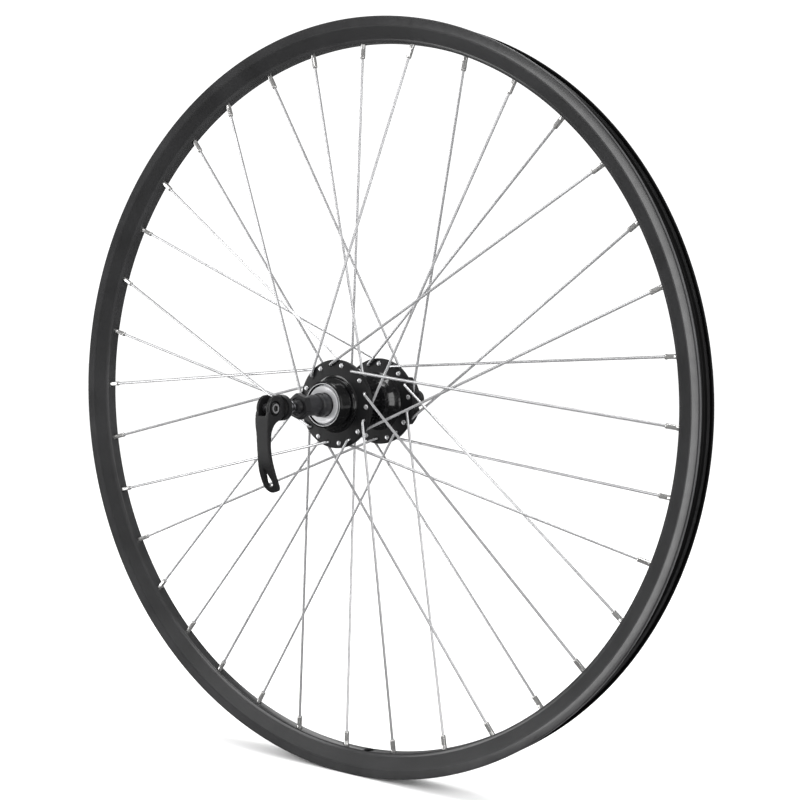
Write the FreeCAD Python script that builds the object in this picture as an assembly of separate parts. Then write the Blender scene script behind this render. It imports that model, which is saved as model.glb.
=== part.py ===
import FreeCAD, Part
import os
from math import sin, cos, tan, pi, radians, degrees, sqrt, atan2
V = FreeCAD.Vector

# ---------------------------------------------------------------------------
# Rear bicycle wheel, 26 inch, 36 spokes, with a threaded hub and a quick
# release.  Millimetres.  Axle along Y, -Y is the sprocket (drive) side, +Y is
# the brake disc side, +Z is up.  Origin: wheel centre on the axle line, midway
# between the outer faces of the two locknuts.
# ---------------------------------------------------------------------------

# rim
RIM_R = 285.5          # outer radius over the lips
RIM_HALF_W = 12.1      # half width at the lips
LIP_IN = 9.5           # inner edge of each lip
SEAT_R = 279.5         # bead seat radius (559 mm seat diameter)
WELL_R = 276.5         # floor of the tyre channel
BED_R = 267.6          # inner (spoke side) face of the rim
VALVE_ANG = 273.1      # valve hole, degrees from +X towards +Z
VALVE_R = 4.25
NIPPLE_HOLE_R = 2.4
ACCESS_HOLE_R = 4.2

# spoke pattern
N_SPOKES = 36
NIP_ANG0 = 88.106      # first nipple
NIP_OFF = 0.83         # stagger of the nipple holes either side of the middle
SPOKE_R = 1.0
NIP_IN_R = 257.6       # nipples stick out to this radius
NIP_OUT_R = 271.4
NIP_BODY_R = 1.9

# flanges
FL_D_OUT, FL_D_IN, FL_D_R = -23.6, -20.1, 33.3
FL_B_IN, FL_B_OUT, FL_B_R = 30.5, 34.0, 33.5
PCD_R = 29.45
SPOKE_HOLE_R = 1.25

# hub shell
BARREL_R = 14.5
THREAD_R = 17.45       # 1.375 in x 24 freewheel thread
THREAD_Y0, THREAD_Y1 = -38.0, -27.0
SHELL_D_END = -38.0
DISC_FACE = 52.2
DISC_R = 26.0
ROTOR_PCD = 44.0
ROTOR_HOLE_R = 2.1     # M5 tapping size
SPIGOT_R = 17.4
SPIGOT_END = 55.6

# bearings: cup and cone with nine quarter inch balls each side
BALL_R = 3.175
BALL_PITCH_R = 10.8
N_BALLS = 9
BALL_Y_D = -32.0
BALL_Y_B = 49.6
RACE_R = 3.25

# axle assembly
AXLE_R = 5.0
AXLE_BORE_R = 2.75
AXLE_END = 71.0
LOCK_FACE = 67.5       # 135 mm over the locknuts
LOCK_T = 5.5
LOCK_AF = 17.0

# quick release
ROD_R = 2.5
PIVOT_Y = -98.2
CAM_Y = -96.2
CAM_R = 9.3
CAP_R = 9.3
LEVER_W = 12.0
SLOT_W = 7.0
PIN_R = 2.0

os.makedirs("parts", exist_ok=True)


# ---- helpers --------------------------------------------------------------
def rev(pts, a=360.0, start=0.0):
    """Revolve a closed (y, r) outline about the Y axis."""
    w = Part.makePolygon([V(r, y, 0) for (y, r) in pts] + [V(pts[0][1], pts[0][0], 0)])
    f = Part.Face(w)
    s = f.revolve(V(0, 0, 0), V(0, 1, 0), a)
    if start:
        s.rotate(V(0, 0, 0), V(0, 1, 0), -start)
    return s


def rev_edges(edges):
    w = Part.Wire(Part.__sortEdges__(edges))
    return Part.Face(w).revolve(V(0, 0, 0), V(0, 1, 0), 360)


def seg(a, b):
    return Part.LineSegment(V(a[1], a[0], 0), V(b[1], b[0], 0)).toShape()


def arc3(a, m, b):
    return Part.Arc(V(a[1], a[0], 0), V(m[1], m[0], 0), V(b[1], b[0], 0)).toShape()


def path_rev(items):
    """items: points (y, r) or ('arc', mid, end); closed outline revolved."""
    edges = []
    cur = items[0]
    first = items[0]
    for it in items[1:]:
        if it[0] == 'arc':
            edges.append(arc3(cur, it[1], it[2]))
            cur = it[2]
        else:
            edges.append(seg(cur, it))
            cur = it
    edges.append(seg(cur, first))
    return rev_edges(edges)


def ycyl(r, y0, y1, x=0, z=0):
    return Part.makeCylinder(r, y1 - y0, V(x, y0, z), V(0, 1, 0))


def xcyl(r, x0, x1, y=0, z=0):
    return Part.makeCylinder(r, x1 - x0, V(x0, y, z), V(1, 0, 0))


def pol(r, ang, y=0.0):
    a = radians(ang)
    return V(r * cos(a), y, r * sin(a))


def mirror_rev(pts, c):
    """Mirror a (y, r) outline through the plane y = c / 2."""
    return [(c - y, r) for (y, r) in pts]


def export(shape, name):
    if isinstance(shape, (list, tuple)):
        shape = Part.makeCompound(list(shape))
    n = len(shape.Solids)
    ok = shape.isValid() and n > 0 and all(s.isClosed() for s in shape.Solids)
    bb = shape.BoundBox
    print("%-26s solids %2d valid %s vol %10.1f  y %7.2f..%7.2f" %
          (name, n, ok, sum(s.Volume for s in shape.Solids), bb.YMin, bb.YMax))
    shape.exportStep("parts/%s.step" % name)


def hexprism(af, y0, y1):
    r = af / 2 / cos(pi / 6)
    pts = [V(r * cos(radians(90 + 60 * i)), y0, r * sin(radians(90 + 60 * i))) for i in range(7)]
    return Part.Face(Part.makePolygon(pts)).extrude(V(0, y1 - y0, 0))


# ---- rim ------------------------------------------------------------------
half = [(-4.2, BED_R), (-5.3, 270.0), (-10.0, 278.2), (-10.35, 279.2),
        (-RIM_HALF_W + 0.1, 284.9), (-RIM_HALF_W + 0.5, RIM_R), (-LIP_IN - 0.3, RIM_R),
        (-LIP_IN, 285.1), (-9.6, 284.0), (-10.0, 283.0), (-9.6, 281.3), (-9.05, SEAT_R),
        (-6.9, 279.2), (-5.2, 276.8), (-4.4, WELL_R)]
outline = half + [(-y, r) for (y, r) in reversed(half)]
chalf = [(-3.4, 269.3), (-4.06, 270.65), (-8.31, 277.6), (-7.4, 277.6), (-5.9, 275.0)]
cavity = chalf + [(-y, r) for (y, r) in reversed(chalf)]
rim = rev(outline).cut(rev(cavity))


# lacing: nipple k -> (hole angle, flange, side of the flange the spoke lies on)
lacing = {}
for m in range(9):
    for base, kk, side in ((77.436, 5, +1), (97.436, 31, -1)):
        lacing[(kk + 4 * m) % 36] = ('d', base + 40.0 * m, side)
    for base, kk, side in ((87.73, 6, +1), (27.73, 24, -1)):
        lacing[(kk + 4 * m) % 36] = ('b', base + 40.0 * m, side)
assert len(lacing) == 36

ELBOW_OUT = 1.8        # spoke centre line from the flange face, at the elbow
ELBOW_IN = 1.6
BEND_R = 1.9

spokes = {'d+': [], 'd-': [], 'b+': [], 'b-': []}
nipples = {'d': [], 'b': []}
holes = []
for k in range(36):
    fl, hang, side = lacing[k]
    y_nip = -NIP_OFF if fl == 'd' else NIP_OFF
    f_lo, f_hi = (FL_D_OUT, FL_D_IN) if fl == 'd' else (FL_B_IN, FL_B_OUT)
    if side > 0:
        ye, yh = f_hi + (ELBOW_OUT if fl == 'b' else ELBOW_IN), f_lo
    else:
        ye, yh = f_lo - (ELBOW_OUT if fl == 'd' else ELBOW_IN), f_hi
    hp = pol(PCD_R, hang)
    nang = NIP_ANG0 + 10.0 * k
    n_in = pol(BED_R, nang, y_nip)
    # corner of the bend, then a straight run to the nipple hole
    corner = V(hp.x, ye, hp.z)
    d = (n_in - corner)
    L = d.Length
    d.normalize()
    s = V(0, 1, 0) * (1 if yh > ye else -1)     # from the corner into the flange
    # bend angle between s and d
    ang = s.getAngle(d)
    t = BEND_R / tan(ang / 2)
    pa = corner + s * t
    pb = corner + d * t
    bis = (s + d)
    bis.normalize()
    cen = corner + bis * (BEND_R / sin(ang / 2))
    pm = cen - bis * BEND_R
    head_y = yh + (0.15 if yh > ye else -0.15)
    p0 = V(hp.x, head_y, hp.z)
    nip_top = n_in + d * ((NIP_OUT_R - BED_R) - 0.8)
    e1 = Part.LineSegment(p0, pa).toShape()
    e2 = Part.Arc(pa, pm, pb).toShape()
    e3 = Part.LineSegment(pb, nip_top).toShape()
    path = Part.Wire([e1, e2, e3])
    prof = Part.Wire([Part.Circle(p0, s, SPOKE_R).toShape()])
    body = path.makePipeShell([prof], True, False)
    if not body.isValid() or body.Volume < 0:
        print("spoke pipe", k, body.isValid(), body.Volume)
    # head: a low button outside the flange
    hs = 1 if yh > ye else -1
    hd = Part.makeCone(1.95, 1.35, 0.9, V(hp.x, head_y, hp.z), V(0, hs, 0))
    hd2 = Part.makeCylinder(1.95, 0.25, V(hp.x, head_y - hs * 0.12, hp.z), V(0, hs, 0))
    hd = hd.fuse(hd2)
    sp = body.fuse(hd).removeSplitter()
    spokes[fl + ('+' if side > 0 else '-')].append(sp.Solids[0])
    # nipple along the spoke's line
    base = n_in - d * (BED_R - NIP_IN_R) / (d.dot(pol(1, nang)))
    ln = (NIP_OUT_R - NIP_IN_R)
    shank = Part.makeCylinder(NIP_BODY_R, ln - 2.0, base, d)
    head = Part.makeCone(NIP_BODY_R, 3.0, 1.2, base + d * (ln - 2.9), d).fuse(
        Part.makeCylinder(3.0, 1.7, base + d * (ln - 1.7), d))
    nip = shank.fuse(head).cut(Part.makeCylinder(SPOKE_R + 0.03, ln + 2, base - d, d))
    nipples[fl].append(nip.removeSplitter().Solids[0])
    # holes through the rim
    c0 = pol(BED_R - 3, nang, y_nip)
    holes.append(Part.makeCylinder(NIPPLE_HOLE_R, 6.0, c0, pol(1, nang)))
    holes.append(Part.makeCylinder(ACCESS_HOLE_R, 6.0, pol(273.0, nang, y_nip), pol(1, nang)))
holes.append(Part.makeCylinder(VALVE_R, 20, pol(262.0, VALVE_ANG), pol(1, VALVE_ANG)))
rim = rim.cut(holes)
export(rim, "rim")

# sleeve inside the hollow of the rim, across the joint opposite the valve
sleeve_pts = [(-3.2, 269.5), (-3.8, 270.7), (-7.95, 277.35), (-7.5, 277.35), (-6.1, 274.8)]
sleeve_pts = sleeve_pts + [(-y, r) for (y, r) in reversed(sleeve_pts)]
sl = rev(sleeve_pts, 6.4)
cm = sl.CenterOfMass
sl.rotate(V(0, 0, 0), V(0, 1, 0), -(93.1 - degrees(atan2(cm.z, cm.x))))
inner_cut = rev([(-2.9, 270.9), (-5.0, 273.6), (5.0, 273.6), (2.9, 270.9)])
sl = sl.cut(inner_cut)
export(sl, "rim_joint_sleeve")

export(spokes['d+'], "spokes_drive_inner")
export(spokes['d-'], "spokes_drive_outer")
export(spokes['b+'], "spokes_disc_outer")
export(spokes['b-'], "spokes_disc_inner")
export(nipples['d'], "nipples_drive")
export(nipples['b'], "nipples_disc")

# ---- hub shell ------------------------------------------------------------
CUP_SEAT_R = 15.0
outer = [(SHELL_D_END, 15.5), (SHELL_D_END, 16.9), (-37.5, THREAD_R), (THREAD_Y1, THREAD_R),
         (-26.6, 17.0), (-26.0, 17.0), (-26.0, 19.5), (-24.9, 19.5), (-24.3, 19.8), (-23.9, 20.5),
         (FL_D_OUT, 21.6), (FL_D_OUT, FL_D_R - 0.5), (FL_D_OUT + 0.5, FL_D_R),
         (FL_D_IN - 0.5, FL_D_R), (FL_D_IN, FL_D_R - 0.5), (FL_D_IN, 22.5),
         (-19.4, 20.6), (-17.0, 18.0), (-14.0, 15.7), (-11.0, 14.7), (-8.0, BARREL_R),
         (17.0, BARREL_R), (20.5, 14.9), (23.5, 16.0), (27.0, 18.3), (29.6, 20.6),
         (FL_B_IN, 22.5), (FL_B_IN, FL_B_R - 0.5), (FL_B_IN + 0.5, FL_B_R),
         (FL_B_OUT - 0.5, FL_B_R), (FL_B_OUT, FL_B_R - 0.5), (FL_B_OUT, 22.5), (34.6, 21.0),
         (36.0, 19.8), (43.0, 19.8), (44.0, 20.6), (44.6, 22.0), (44.6, DISC_R - 0.5), (45.1, DISC_R),
         (DISC_FACE - 0.4, DISC_R), (DISC_FACE, DISC_R - 0.4), (DISC_FACE, SPIGOT_R),
         (SPIGOT_END - 0.5, SPIGOT_R), (SPIGOT_END, SPIGOT_R - 0.5), (SPIGOT_END, 15.5)]
inner = [(BALL_Y_B + 5.2, 15.5), (BALL_Y_B + 5.2, CUP_SEAT_R), (BALL_Y_B - 4.6, CUP_SEAT_R),
         (BALL_Y_B - 4.6, 9.5), (BALL_Y_D + 4.6, 9.5), (BALL_Y_D + 4.6, CUP_SEAT_R),
         (BALL_Y_D - 3.6, CUP_SEAT_R), (BALL_Y_D - 3.6, 15.5)]
shell = rev(outer + inner)
cuts = []
for k, (fl, hang, side) in lacing.items():
    y0, y1 = (FL_D_OUT, FL_D_IN) if fl == 'd' else (FL_B_IN, FL_B_OUT)
    p = pol(PCD_R, hang)
    cuts.append(ycyl(SPOKE_HOLE_R, y0 - 1, y1 + 1, p.x, p.z))
for i in range(6):
    p = pol(ROTOR_PCD / 2, 30 + 60 * i)
    cuts.append(ycyl(ROTOR_HOLE_R, 44.0, 53.0, p.x, p.z))
    # scallop between the bolt bosses
    q = pol(DISC_R + 9.2, 60 * i)
    cuts.append(ycyl(12.0, 44.0, 53.0, q.x, q.z))
shell = shell.cut(cuts)
export(shell, "hub_shell")


# ---- bearings -------------------------------------------------------------
def cup(yb, s):
    """s = +1: race opens towards -Y (drive side)."""
    c45 = RACE_R * cos(pi / 4)
    a15 = radians(15)
    return path_rev([
        (yb - s * 3.5, CUP_SEAT_R), (yb - s * 3.5, BALL_PITCH_R + RACE_R),
        (yb, BALL_PITCH_R + RACE_R),
        ('arc', (yb + s * c45, BALL_PITCH_R + c45),
         (yb + s * RACE_R * cos(a15), BALL_PITCH_R + RACE_R * sin(a15))),
        (yb + s * 4.5, 11.9), (yb + s * 4.5, CUP_SEAT_R)])


def cone(yb, s, y_end, collar=()):
    c45 = RACE_R * cos(pi / 4)
    a15 = radians(15)
    st = (yb - s * RACE_R * cos(a15), BALL_PITCH_R - RACE_R * sin(a15))
    r_end = collar[0][1] if collar else 8.4
    return path_rev([
        (y_end, 5.02), (y_end, r_end - 0.5), (y_end + s * 0.5, r_end), *collar, (yb - s * 3.75, 8.4),
        (yb - s * 3.45, 9.65), st,
        ('arc', (yb - s * c45, BALL_PITCH_R - c45), (yb, BALL_PITCH_R - RACE_R)),
        (yb + s * 2.4, BALL_PITCH_R - RACE_R), (yb + s * 2.8, 7.1), (yb + s * 2.8, 5.02)])


def balls(yb, ph):
    out = []
    for i in range(N_BALLS):
        p = pol(BALL_PITCH_R, ph + 360.0 * i / N_BALLS, yb)
        b = Part.makeSphere(BALL_R, p, V(0, 1, 0))
        out.append(b)
    return out


export(cup(BALL_Y_D, +1), "bearing_cup_drive")
export(cup(BALL_Y_B, -1), "bearing_cup_disc")
# the wrench end stands proud of the dust cap as a wider collar
cone_d = cone(BALL_Y_D, +1, -46.5, ((-39.1, 8.9), (-38.7, 8.4)))
flats = []
for sgn in (1, -1):
    flats.append(Part.makeBox(20, 4.1, 6, V(-10, -46.6, 7.6 if sgn > 0 else -13.6)))
cone_d = cone_d.cut(flats)
export(cone_d, "cone_drive")
cone_b = cone(BALL_Y_B, -1, 59.6)
flats = []
for sgn in (1, -1):
    flats.append(Part.makeBox(20, 2.6, 6, V(-10, 56.99, 7.5 if sgn > 0 else -13.5)))
cone_b = cone_b.cut(flats)
export(cone_b, "cone_disc")
export(balls(BALL_Y_D, 0), "bearing_balls_drive")
export(balls(BALL_Y_B, 20), "bearing_balls_disc")


def dust_cap(yb, s, y_face):
    """Pressed into the mouth of the cup; slightly dished ring."""
    return rev([(y_face, 13.2), (y_face + s * 0.5, 13.95), (y_face + s * 1.0, 14.03), (yb - s * 2.6, 14.03),
                (yb - s * 2.6, 13.4), (y_face + s * 1.2, 13.3), (y_face + s * 1.5, 9.2),
                (y_face + s * 2.0, 9.1), (y_face + s * 2.0, 8.75), (y_face + s * 0.9, 8.75),
                (y_face + s * 0.7, 9.3)])


export(dust_cap(BALL_Y_D, +1, -37.9), "dust_cap_drive")
export(dust_cap(BALL_Y_B, -1, 55.5), "dust_cap_disc")

# ---- axle assembly --------------------------------------------------------
axle = ycyl(AXLE_R, -AXLE_END, AXLE_END).cut(ycyl(AXLE_BORE_R, -AXLE_END - 1, AXLE_END + 1))
axle = rev([(-AXLE_END, AXLE_BORE_R + 0.3), (-AXLE_END, AXLE_R - 0.5), (-AXLE_END + 0.5, AXLE_R),
            (AXLE_END - 0.5, AXLE_R), (AXLE_END, AXLE_R - 0.5), (AXLE_END, AXLE_BORE_R + 0.3),
            (AXLE_END - 0.3, AXLE_BORE_R), (-AXLE_END + 0.3, AXLE_BORE_R)])
# key groove along the thread, for the tabs of the lock washers
axle = axle.cut([Part.makeBox(1.6, 22.0, 1.0, V(-0.8, -AXLE_END - 0.5, 4.3)),
                 Part.makeBox(1.6, 22.0, 1.0, V(-0.8, AXLE_END - 21.5, 4.3))])
export(axle, "axle")


def spacer(y0, y1, r):
    return rev([(y0, 5.02), (y0, r - 0.3), (y0 + 0.3, r), (y1 - 0.3, r), (y1, r - 0.3), (y1, 5.02)])


export(spacer(-61.0, -46.5, 7.4), "axle_spacer_drive")
export(spacer(59.6, 61.0, 7.4), "axle_spacer_disc")


def lock_washer(y0, y1):
    w = rev([(y0, 5.02), (y0, 8.0), (y1, 8.0), (y1, 5.02)])
    tab = Part.makeBox(1.3, y1 - y0, 0.9, V(-0.65, y0, 4.45))
    return w.fuse(tab).removeSplitter()


export(lock_washer(-62.0, -61.0), "lock_washer_drive")
export(lock_washer(61.0, 62.0), "lock_washer_disc")


def locknut(s):
    y0, y1 = sorted((s * (LOCK_FACE - LOCK_T), s * LOCK_FACE))
    h = hexprism(LOCK_AF, y0, y1)
    if s < 0:
        h.rotate(V(0, 0, 0), V(0, 1, 0), -8.6)   # this one stopped a little past upright
    rc = LOCK_AF / 2 / cos(pi / 6)
    if s < 0:
        ch = rev([(y0, 0), (y0, rc - 1.5), (y0 + 1.2, rc + 0.05), (y1 - 0.5, rc + 0.05), (y1, rc - 0.5), (y1, 0)])
    else:
        ch = rev([(y0, 0), (y0, rc - 0.5), (y0 + 0.5, rc + 0.05), (y1 - 1.2, rc + 0.05), (y1, rc - 1.5), (y1, 0)])
    n = h.common(ch)
    bore = ycyl(5.02, y0 - 1, y1 + 1)
    # shallow recess round the axle on the outer face
    rec = ycyl(6.3, y0 - 1, y0 + 0.8) if s < 0 else ycyl(6.3, y1 - 0.8, y1 + 1)
    return n.cut([bore, rec])


export(locknut(-1), "locknut_drive")
export(locknut(+1), "locknut_disc")

# ---- quick release --------------------------------------------------------
# rod: from the cross barrel to the adjusting nut
rod = rev([(PIVOT_Y + 1.5, 0), (PIVOT_Y + 1.5, ROD_R), (85.6, ROD_R), (86.2, ROD_R - 0.6), (86.2, 0)])
barrel = xcyl(3.3, -3.3, 3.3, PIVOT_Y)
rod = rod.cut(xcyl(3.3, -3.4, 3.4, PIVOT_Y))
rod = rod.cut(xcyl(3.3, -6.0, 6.0, PIVOT_Y)).Solids
rod = max(rod, key=lambda s: s.Volume)
export(rod, "skewer_rod")
barrel = barrel.cut(xcyl(PIN_R + 0.02, -5, 5, PIVOT_Y))
export(barrel, "pivot_barrel")

# lever: arm swept in the Y-Z plane, trimmed to its front outline, two cam heads
HW = LEVER_W / 2
outer_face = [(-105.3, -2.0), (-106.2, -8.0), (-106.0, -16.0), (-105.5, -25.0), (-104.6, -34.0),
              (-102.6, -43.0), (-99.3, -52.0), (-95.2, -60.5)]
inner_face = [(-91.6, -58.6), (-96.2, -50.6), (-99.6, -42.0), (-101.5, -33.0), (-102.2, -26.0)]
pts_o = [V(-HW - 1, y, z) for (y, z) in outer_face]
pts_i = [V(-HW - 1, y, z) for (y, z) in inner_face]
co = Part.BSplineCurve()
co.interpolate(pts_o)
ci = Part.BSplineCurve()
ci.interpolate(pts_i)
web = [V(-HW - 1, y, z) for (y, z) in [(-102.2, -26.0), (-101.9, -20.0), (-100.9, -15.0), (-98.9, -11.6), (-95.0, -9.2)]]
cw = Part.BSplineCurve()
cw.interpolate(web)
edges = [co.toShape(),
         Part.LineSegment(pts_o[-1], pts_i[0]).toShape(), ci.toShape(), cw.toShape(),
         Part.LineSegment(web[-1], V(-HW - 1, -96.2, -5.0)).toShape(),
         Part.LineSegment(V(-HW - 1, -96.2, -5.0), V(-HW - 1, -96.2, -2.0)).toShape(),
         Part.LineSegment(V(-HW - 1, -96.2, -2.0), pts_o[0]).toShape()]
arm = Part.Face(Part.Wire(Part.__sortEdges__(edges))).extrude(V(2 * HW + 2, 0, 0))
front = [(6.0, 0.0), (6.0, -11.0), (5.45, -17.0), (5.3, -25.0), (5.6, -35.0), (6.3, -43.0), (6.4, -50.0),
         (6.1, -54.0)]
cf = Part.BSplineCurve()
cf.interpolate([V(x, -115, z) for (x, z) in front])
cg = Part.BSplineCurve()
cg.interpolate([V(-x, -115, z) for (x, z) in front])
tip = Part.Arc(V(6.1, -115, -54.0), V(0, -115, -60.1), V(-6.1, -115, -54.0)).toShape()
fe = [cf.toShape(), cg.toShape(), tip,
      Part.LineSegment(V(6.0, -115, 0), V(6.0, -115, 12)).toShape(),
      Part.LineSegment(V(6.0, -115, 12), V(-6.0, -115, 12)).toShape(),
      Part.LineSegment(V(-6.0, -115, 12), V(-6.0, -115, 0)).toShape()]
fsol = Part.Face(Part.Wire(Part.__sortEdges__(fe))).extrude(V(0, 40, 0))
heads = xcyl(CAM_R, -HW + 0.7, HW - 0.7, CAM_Y).fuse([
    Part.makeCone(CAM_R, CAM_R - 0.9, 0.7, V(HW - 0.7, CAM_Y, 0), V(1, 0, 0)),
    Part.makeCone(CAM_R, CAM_R - 0.9, 0.7, V(-HW + 0.7, CAM_Y, 0), V(-1, 0, 0))]).removeSplitter()
lever = arm.common(fsol)
# the cheeks are flat and level with the cam heads
lever = lever.cut([Part.makeBox(3, 30, 30, V(HW, -115, -16.0)), Part.makeBox(3, 30, 30, V(-HW - 3, -115, -16.0))])
lever = lever.fuse(heads)
# fork slot for the rod, open over the top, rounded at its foot
slot = Part.makeBox(SLOT_W, 30, 40, V(-SLOT_W / 2, -112, -5.0))
slot_in = Part.makeBox(SLOT_W, 22, 40, V(-SLOT_W / 2, -102.6, -14.5))
lever = lever.cut([slot, slot_in])
# pivot holes; counterbore for the bolt's head on the +X cheek
lever = lever.cut([xcyl(PIN_R + 0.05, -HW - 1, HW + 1, PIVOT_Y), xcyl(5.3, HW - 1.6, HW + 1, PIVOT_Y)])
# tear-drop finger hole near the tip
tp = [V(-1.2, -115, -41.5)]
cz = -52.4
cr = 3.3
a0 = radians(28)
pL = V(-cr * cos(a0), -115, cz + cr * sin(a0))
pR = V(cr * cos(a0), -115, cz + cr * sin(a0))
te = [Part.LineSegment(tp[0], pR).toShape(), Part.Arc(pR, V(0, -115, cz - cr), pL).toShape(),
      Part.LineSegment(pL, tp[0]).toShape()]
lever = lever.cut(Part.Face(Part.Wire(te)).extrude(V(0, 40, 0)))
lever = lever.removeSplitter()
export(lever.Solids[0] if len(lever.Solids) == 1 else lever, "quick_release_lever")

bolt = xcyl(PIN_R, -HW - 0.4, HW - 1.5, PIVOT_Y).fuse(xcyl(4.4, HW - 1.55, HW + 0.5, PIVOT_Y))
hx = [V(HW - 1.2, PIVOT_Y + 2.45 * cos(radians(30 + 60 * i)), 2.45 * sin(radians(30 + 60 * i))) for i in range(7)]
sock = Part.Face(Part.makePolygon(hx)).extrude(V(3, 0, 0))
bolt = bolt.cut(sock)
bolt = bolt.fuse(xcyl(3.0, -HW - 1.0, -HW - 0.05, PIVOT_Y)).removeSplitter()
export(bolt, "lever_pivot_bolt")

# cap that the cam bears on, with its seat insert
cap = rev([(-87.9, 2.8), (-87.9, CAP_R - 0.4), (-87.5, CAP_R), (-83.3, CAP_R), (-82.8, CAP_R - 0.5),
           (-82.8, 6.2), (-84.2, 6.2), (-84.2, 2.8)])
SADDLE_R = 24.0        # shallow seat, so the eccentric heads can roll across it
saddle = xcyl(SADDLE_R, -20, 20, -86.74 - SADDLE_R)
seat = rev([(-90.0, 2.8), (-90.0, 7.6), (-85.7, 7.6), (-85.7, 2.8)])
cap2 = cap.cut([rev([(-90.0, 0.0), (-90.0, 7.7), (-85.6, 7.7), (-85.6, 0.0)]), saddle])
export(cap2, "quick_release_cap")
seat = seat.cut(saddle)
seat = seat.common(rev([(-87.9, 0.1), (-87.9, 9.0), (-85.0, 9.0), (-85.0, 0.1)]))
export(seat, "cam_seat")


def cone_spring(y_big, y_small, r_big, r_small, wire_r, turns):
    """Conical coil of short arcs, eight to a turn, swept with a round wire."""
    s = 1 if y_small > y_big else -1
    h = abs(y_small - y_big) - 2 * wire_r
    n = int(turns * 8)

    def at(u):
        a = 2 * pi * turns * u
        r = r_big + (r_small - r_big) * u
        return V(r * cos(a), y_big + s * (wire_r + h * u), -s * r * sin(a))
    es = [Part.Arc(at(i / n), at((i + 0.5) / n), at((i + 1) / n)).toShape() for i in range(n)]
    t = es[0].tangentAt(es[0].FirstParameter)
    prof = Part.Wire([Part.Circle(at(0), t, wire_r).toShape()])
    return Part.Wire(es).makePipeShell([prof], True, False, 2)


export(cone_spring(-84.1, -72.7, 5.5, 3.75, 0.4, 3.5), "spring_drive")
spring_b = cone_spring(-81.5, -72.7, 5.3, 3.75, 0.4, 3.0)
spring_b.rotate(V(0, 0, 0), V(1, 0, 0), 180)
export(spring_b, "spring_disc")

# adjusting nut: hollow towards the frame, nylon insert at its outer end
nut = rev([(74.6, 6.3), (74.6, 7.8), (75.2, 8.5), (79.0, 8.5), (80.8, 7.6), (84.4, 7.0), (85.0, 6.4),
           (85.0, 4.4), (82.9, 4.4), (82.9, 2.54), (81.6, 2.54), (81.6, 6.3)])
lobes = []
for i in range(6):
    q = pol(9.9, 60 * i)
    lobes.append(ycyl(2.6, 79.6, 86.0, q.x, q.z))
nut = nut.cut(lobes)
export(nut, "adjusting_nut")
ins = rev([(82.95, 2.54), (82.95, 4.35), (84.7, 4.35), (84.7, 2.54)])
export(ins, "nut_insert")
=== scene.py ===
import bpy, bmesh, math
from math import sin, cos, tan, pi, radians, sqrt, atan2, acos, floor
import numpy as np
from mathutils import Vector, Matrix


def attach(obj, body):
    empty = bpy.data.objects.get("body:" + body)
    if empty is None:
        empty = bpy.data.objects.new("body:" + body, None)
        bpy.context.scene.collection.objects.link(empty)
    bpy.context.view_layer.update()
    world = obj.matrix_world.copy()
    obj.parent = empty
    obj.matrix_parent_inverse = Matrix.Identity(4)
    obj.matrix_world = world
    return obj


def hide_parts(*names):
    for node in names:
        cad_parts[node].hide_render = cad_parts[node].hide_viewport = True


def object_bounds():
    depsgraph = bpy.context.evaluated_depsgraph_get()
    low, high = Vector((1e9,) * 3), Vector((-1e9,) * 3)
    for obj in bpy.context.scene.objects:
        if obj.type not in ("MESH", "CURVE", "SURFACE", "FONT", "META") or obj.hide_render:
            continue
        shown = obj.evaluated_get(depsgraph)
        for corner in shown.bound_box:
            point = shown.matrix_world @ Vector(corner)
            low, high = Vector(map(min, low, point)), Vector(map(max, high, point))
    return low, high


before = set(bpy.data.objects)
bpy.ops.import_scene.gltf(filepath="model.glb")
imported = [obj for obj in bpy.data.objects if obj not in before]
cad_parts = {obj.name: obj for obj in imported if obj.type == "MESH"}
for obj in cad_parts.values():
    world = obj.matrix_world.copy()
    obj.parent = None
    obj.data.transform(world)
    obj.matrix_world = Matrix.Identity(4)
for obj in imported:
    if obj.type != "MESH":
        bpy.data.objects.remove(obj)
cad_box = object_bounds()
MM = 0.001
scene = bpy.context.scene

# ---------------------------------------------------------------- camera
AZ, EL = radians(35.528), radians(3.981)
back = Vector((sin(AZ) * cos(EL), -cos(AZ) * cos(EL), sin(EL)))
right = Vector((cos(AZ), sin(AZ), 0))
up = back.cross(right)
cpos = (back * 1030.753 + right * 36.055 + up * -20.323) * MM
cam_data = bpy.data.cameras.new("camera")
cam = bpy.data.objects.new("camera", cam_data)
scene.collection.objects.link(cam)
cam.matrix_world = Matrix(((right.x, up.x, back.x, cpos.x), (right.y, up.y, back.y, cpos.y),
                           (right.z, up.z, back.z, cpos.z), (0, 0, 0, 1)))
cam_data.sensor_width = 36.0
cam_data.lens = 60.76
cam_data.shift_x = -0.0015
cam_data.shift_y = 0.0367
cam_data.clip_start = 0.02
cam_data.clip_end = 50.0
scene.camera = cam

# ---------------------------------------------------------------- stage
floor_z = cad_box[0][2] - 0.0002


def link(o):
    scene.collection.objects.link(o)
    return o


def mesh_obj(name, verts, faces, smooth=35):
    me = bpy.data.meshes.new(name)
    me.from_pydata([tuple(v) for v in verts], [], [tuple(f) for f in faces])
    me.validate()
    bm = bmesh.new()
    bm.from_mesh(me)
    bmesh.ops.remove_doubles(bm, verts=bm.verts, dist=1e-7)
    bmesh.ops.dissolve_degenerate(bm, edges=bm.edges, dist=1e-7)
    bmesh.ops.recalc_face_normals(bm, faces=bm.faces)
    bm.to_mesh(me)
    bm.free()
    finish_mesh(me, smooth)
    return link(bpy.data.objects.new(name, me))


def finish_mesh(me, smooth=35):
    me.shade_smooth()
    if smooth:
        me.set_sharp_from_angle(angle=radians(smooth))


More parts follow.
